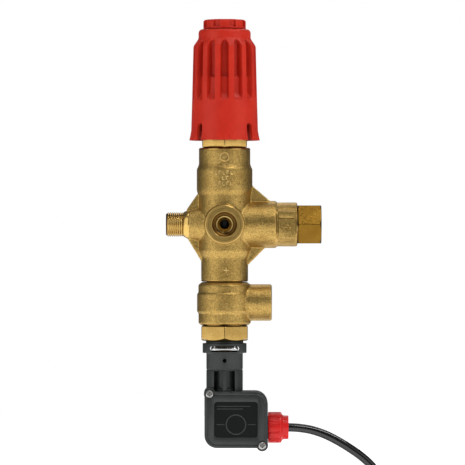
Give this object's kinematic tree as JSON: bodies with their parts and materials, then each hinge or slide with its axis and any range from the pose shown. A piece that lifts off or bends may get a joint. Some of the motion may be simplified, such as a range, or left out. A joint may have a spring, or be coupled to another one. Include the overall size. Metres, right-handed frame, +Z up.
{
  "type": "pressure switch with unloader valve",
  "caption": "Forged brass pressure-regulating unloader valve with an adjusting knob, a swivelling by-pass banjo and a clip-on pressure switch with its cable.",
  "frame": {"origin": "centre of the inlet port's end face", "axes": "+X from the inlet to the outlet, +Z up along the valve's axis to the adjusting knob, -Y the front with the accessory port"},
  "size_m": [0.1524, 0.114, 0.3647],
  "materials": {
    "forged_brass": "hot-forged brass, fine sand-blasted skin",
    "machined_brass": "turned and milled brass, bright",
    "stainless_steel": "turned stainless steel",
    "zinc_steel": "bright zinc-plated steel",
    "spring_steel": "drawn spring wire",
    "knob_red": "moulded nylon, satin",
    "gland_red": "moulded nylon, semi-gloss",
    "black_plastic": "glass-filled nylon, satin",
    "microswitch_case": "moulded thermoset",
    "button_red": "moulded",
    "tinned_copper": "tinned",
    "rubber": "nitrile rubber",
    "cable_sheath": "PVC sheath, semi-gloss",
    "wire_brown": "core insulation",
    "wire_blue": "core insulation",
    "wire_black": "core insulation"
  },
  "bodies": {
    "valve": {"valve_body": "forged_brass", "spring_housing": "machined_brass", "piston_guide": "machined_brass", "piston_guide_oring": "rubber", "valve_seat": "stainless_steel", "valve_seat_oring": "rubber", "main_spring": "spring_steel", "check_seat": "stainless_steel", "check_spring": "spring_steel", "outlet_fitting": "machined_brass", "outlet_oring": "rubber", "banjo_screw": "machined_brass", "banjo_oring_upper": "rubber", "banjo_oring_lower": "rubber"},
    "stem": {"piston_stem": "stainless_steel", "piston_oring": "rubber", "poppet": "stainless_steel", "lower_spring_plate": "stainless_steel", "stem_lock_nut": "stainless_steel"},
    "spring_plate": {"upper_spring_plate": "stainless_steel"},
    "knob": {"adjusting_screw": "machined_brass", "knob_nut": "stainless_steel", "adjusting_knob": "knob_red", "knob_cap": "knob_red"},
    "check": {"check_poppet": "stainless_steel"},
    "banjo": {"bypass_banjo": "forged_brass"},
    "switch": {"switch_housing": "black_plastic", "lid_gasket": "rubber", "box_lid": "black_plastic", "lid_screw_1": "zinc_steel", "lid_screw_2": "zinc_steel", "microswitch": "microswitch_case", "microswitch_screw_1": "zinc_steel", "microswitch_screw_2": "zinc_steel", "terminal_common": "tinned_copper", "terminal_normally_closed": "tinned_copper", "terminal_normally_open": "tinned_copper", "switch_spring": "spring_steel", "lead_normally_open": "wire_brown", "lead_normally_closed": "wire_blue", "lead_common": "wire_black", "gland_nut": "gland_red", "gland_seal": "rubber", "cable": "cable_sheath", "cable_coil": "cable_sheath", "cable_tie": "black_plastic", "core_brown": "wire_brown", "core_blue": "wire_blue", "core_black": "wire_black"},
    "plunger": {"switch_piston": "stainless_steel", "switch_piston_oring": "rubber", "push_rod": "black_plastic"},
    "button": {"microswitch_button": "button_red"},
    "clip": {"retaining_clip": "stainless_steel"}
  },
  "joints": [
    {"name": "screw_travel", "type": "slide", "parent": "valve", "child": "spring_plate", "axis": [0, 0, 1], "range_m": [-0.006, 0.002], "deforming": ["main_spring"]},
    {"name": "knob_turn", "type": "hinge", "parent": "spring_plate", "child": "knob", "pos_m": [0.04, 0, 0.095], "axis": [0, 0, 1], "range_deg": [-1080, 360]},
    {"name": "stem_lift", "type": "slide", "parent": "valve", "child": "stem", "axis": [0, 0, 1], "range_m": [0, 0.0025], "stiffness_N_per_m": 3000, "springref_m": -0.004, "deforming": ["main_spring"]},
    {"name": "check_open", "type": "slide", "parent": "valve", "child": "check", "axis": [1, 0, 0], "range_m": [0, 0.004], "stiffness_N_per_m": 300, "springref_m": -0.004, "deforming": ["check_spring"]},
    {"name": "banjo_swivel", "type": "hinge", "parent": "valve", "child": "banjo", "pos_m": [0.04, 0, -0.0533], "axis": [0, 0, 1], "continuous": true},
    {"name": "switch_swivel", "type": "hinge", "parent": "valve", "child": "switch", "pos_m": [0.04, 0, -0.088], "axis": [0, 0, 1], "range_deg": [-180, 180]},
    {"name": "plunger_travel", "type": "slide", "parent": "switch", "child": "plunger", "axis": [0, 0, -1], "range_m": [0, 0.0015], "stiffness_N_per_m": 500, "springref_m": -0.003, "deforming": ["switch_spring"]},
    {"name": "button_travel", "type": "slide", "parent": "switch", "child": "button", "axis": [0, 0, -1], "range_m": [0, 0.0015], "stiffness_N_per_m": 100, "springref_m": -0.003},
    {"name": "clip_pull", "type": "slide", "parent": "switch", "child": "clip", "axis": [0, -1, 0], "range_m": [0, 0.014]}
  ],
  "couplings": [
    {"joint": "knob_turn", "follows": "screw_travel", "rad_per_m": 3141.5},
    {"joint": "button_travel", "follows": "plunger_travel", "ratio": 1}
  ]
}
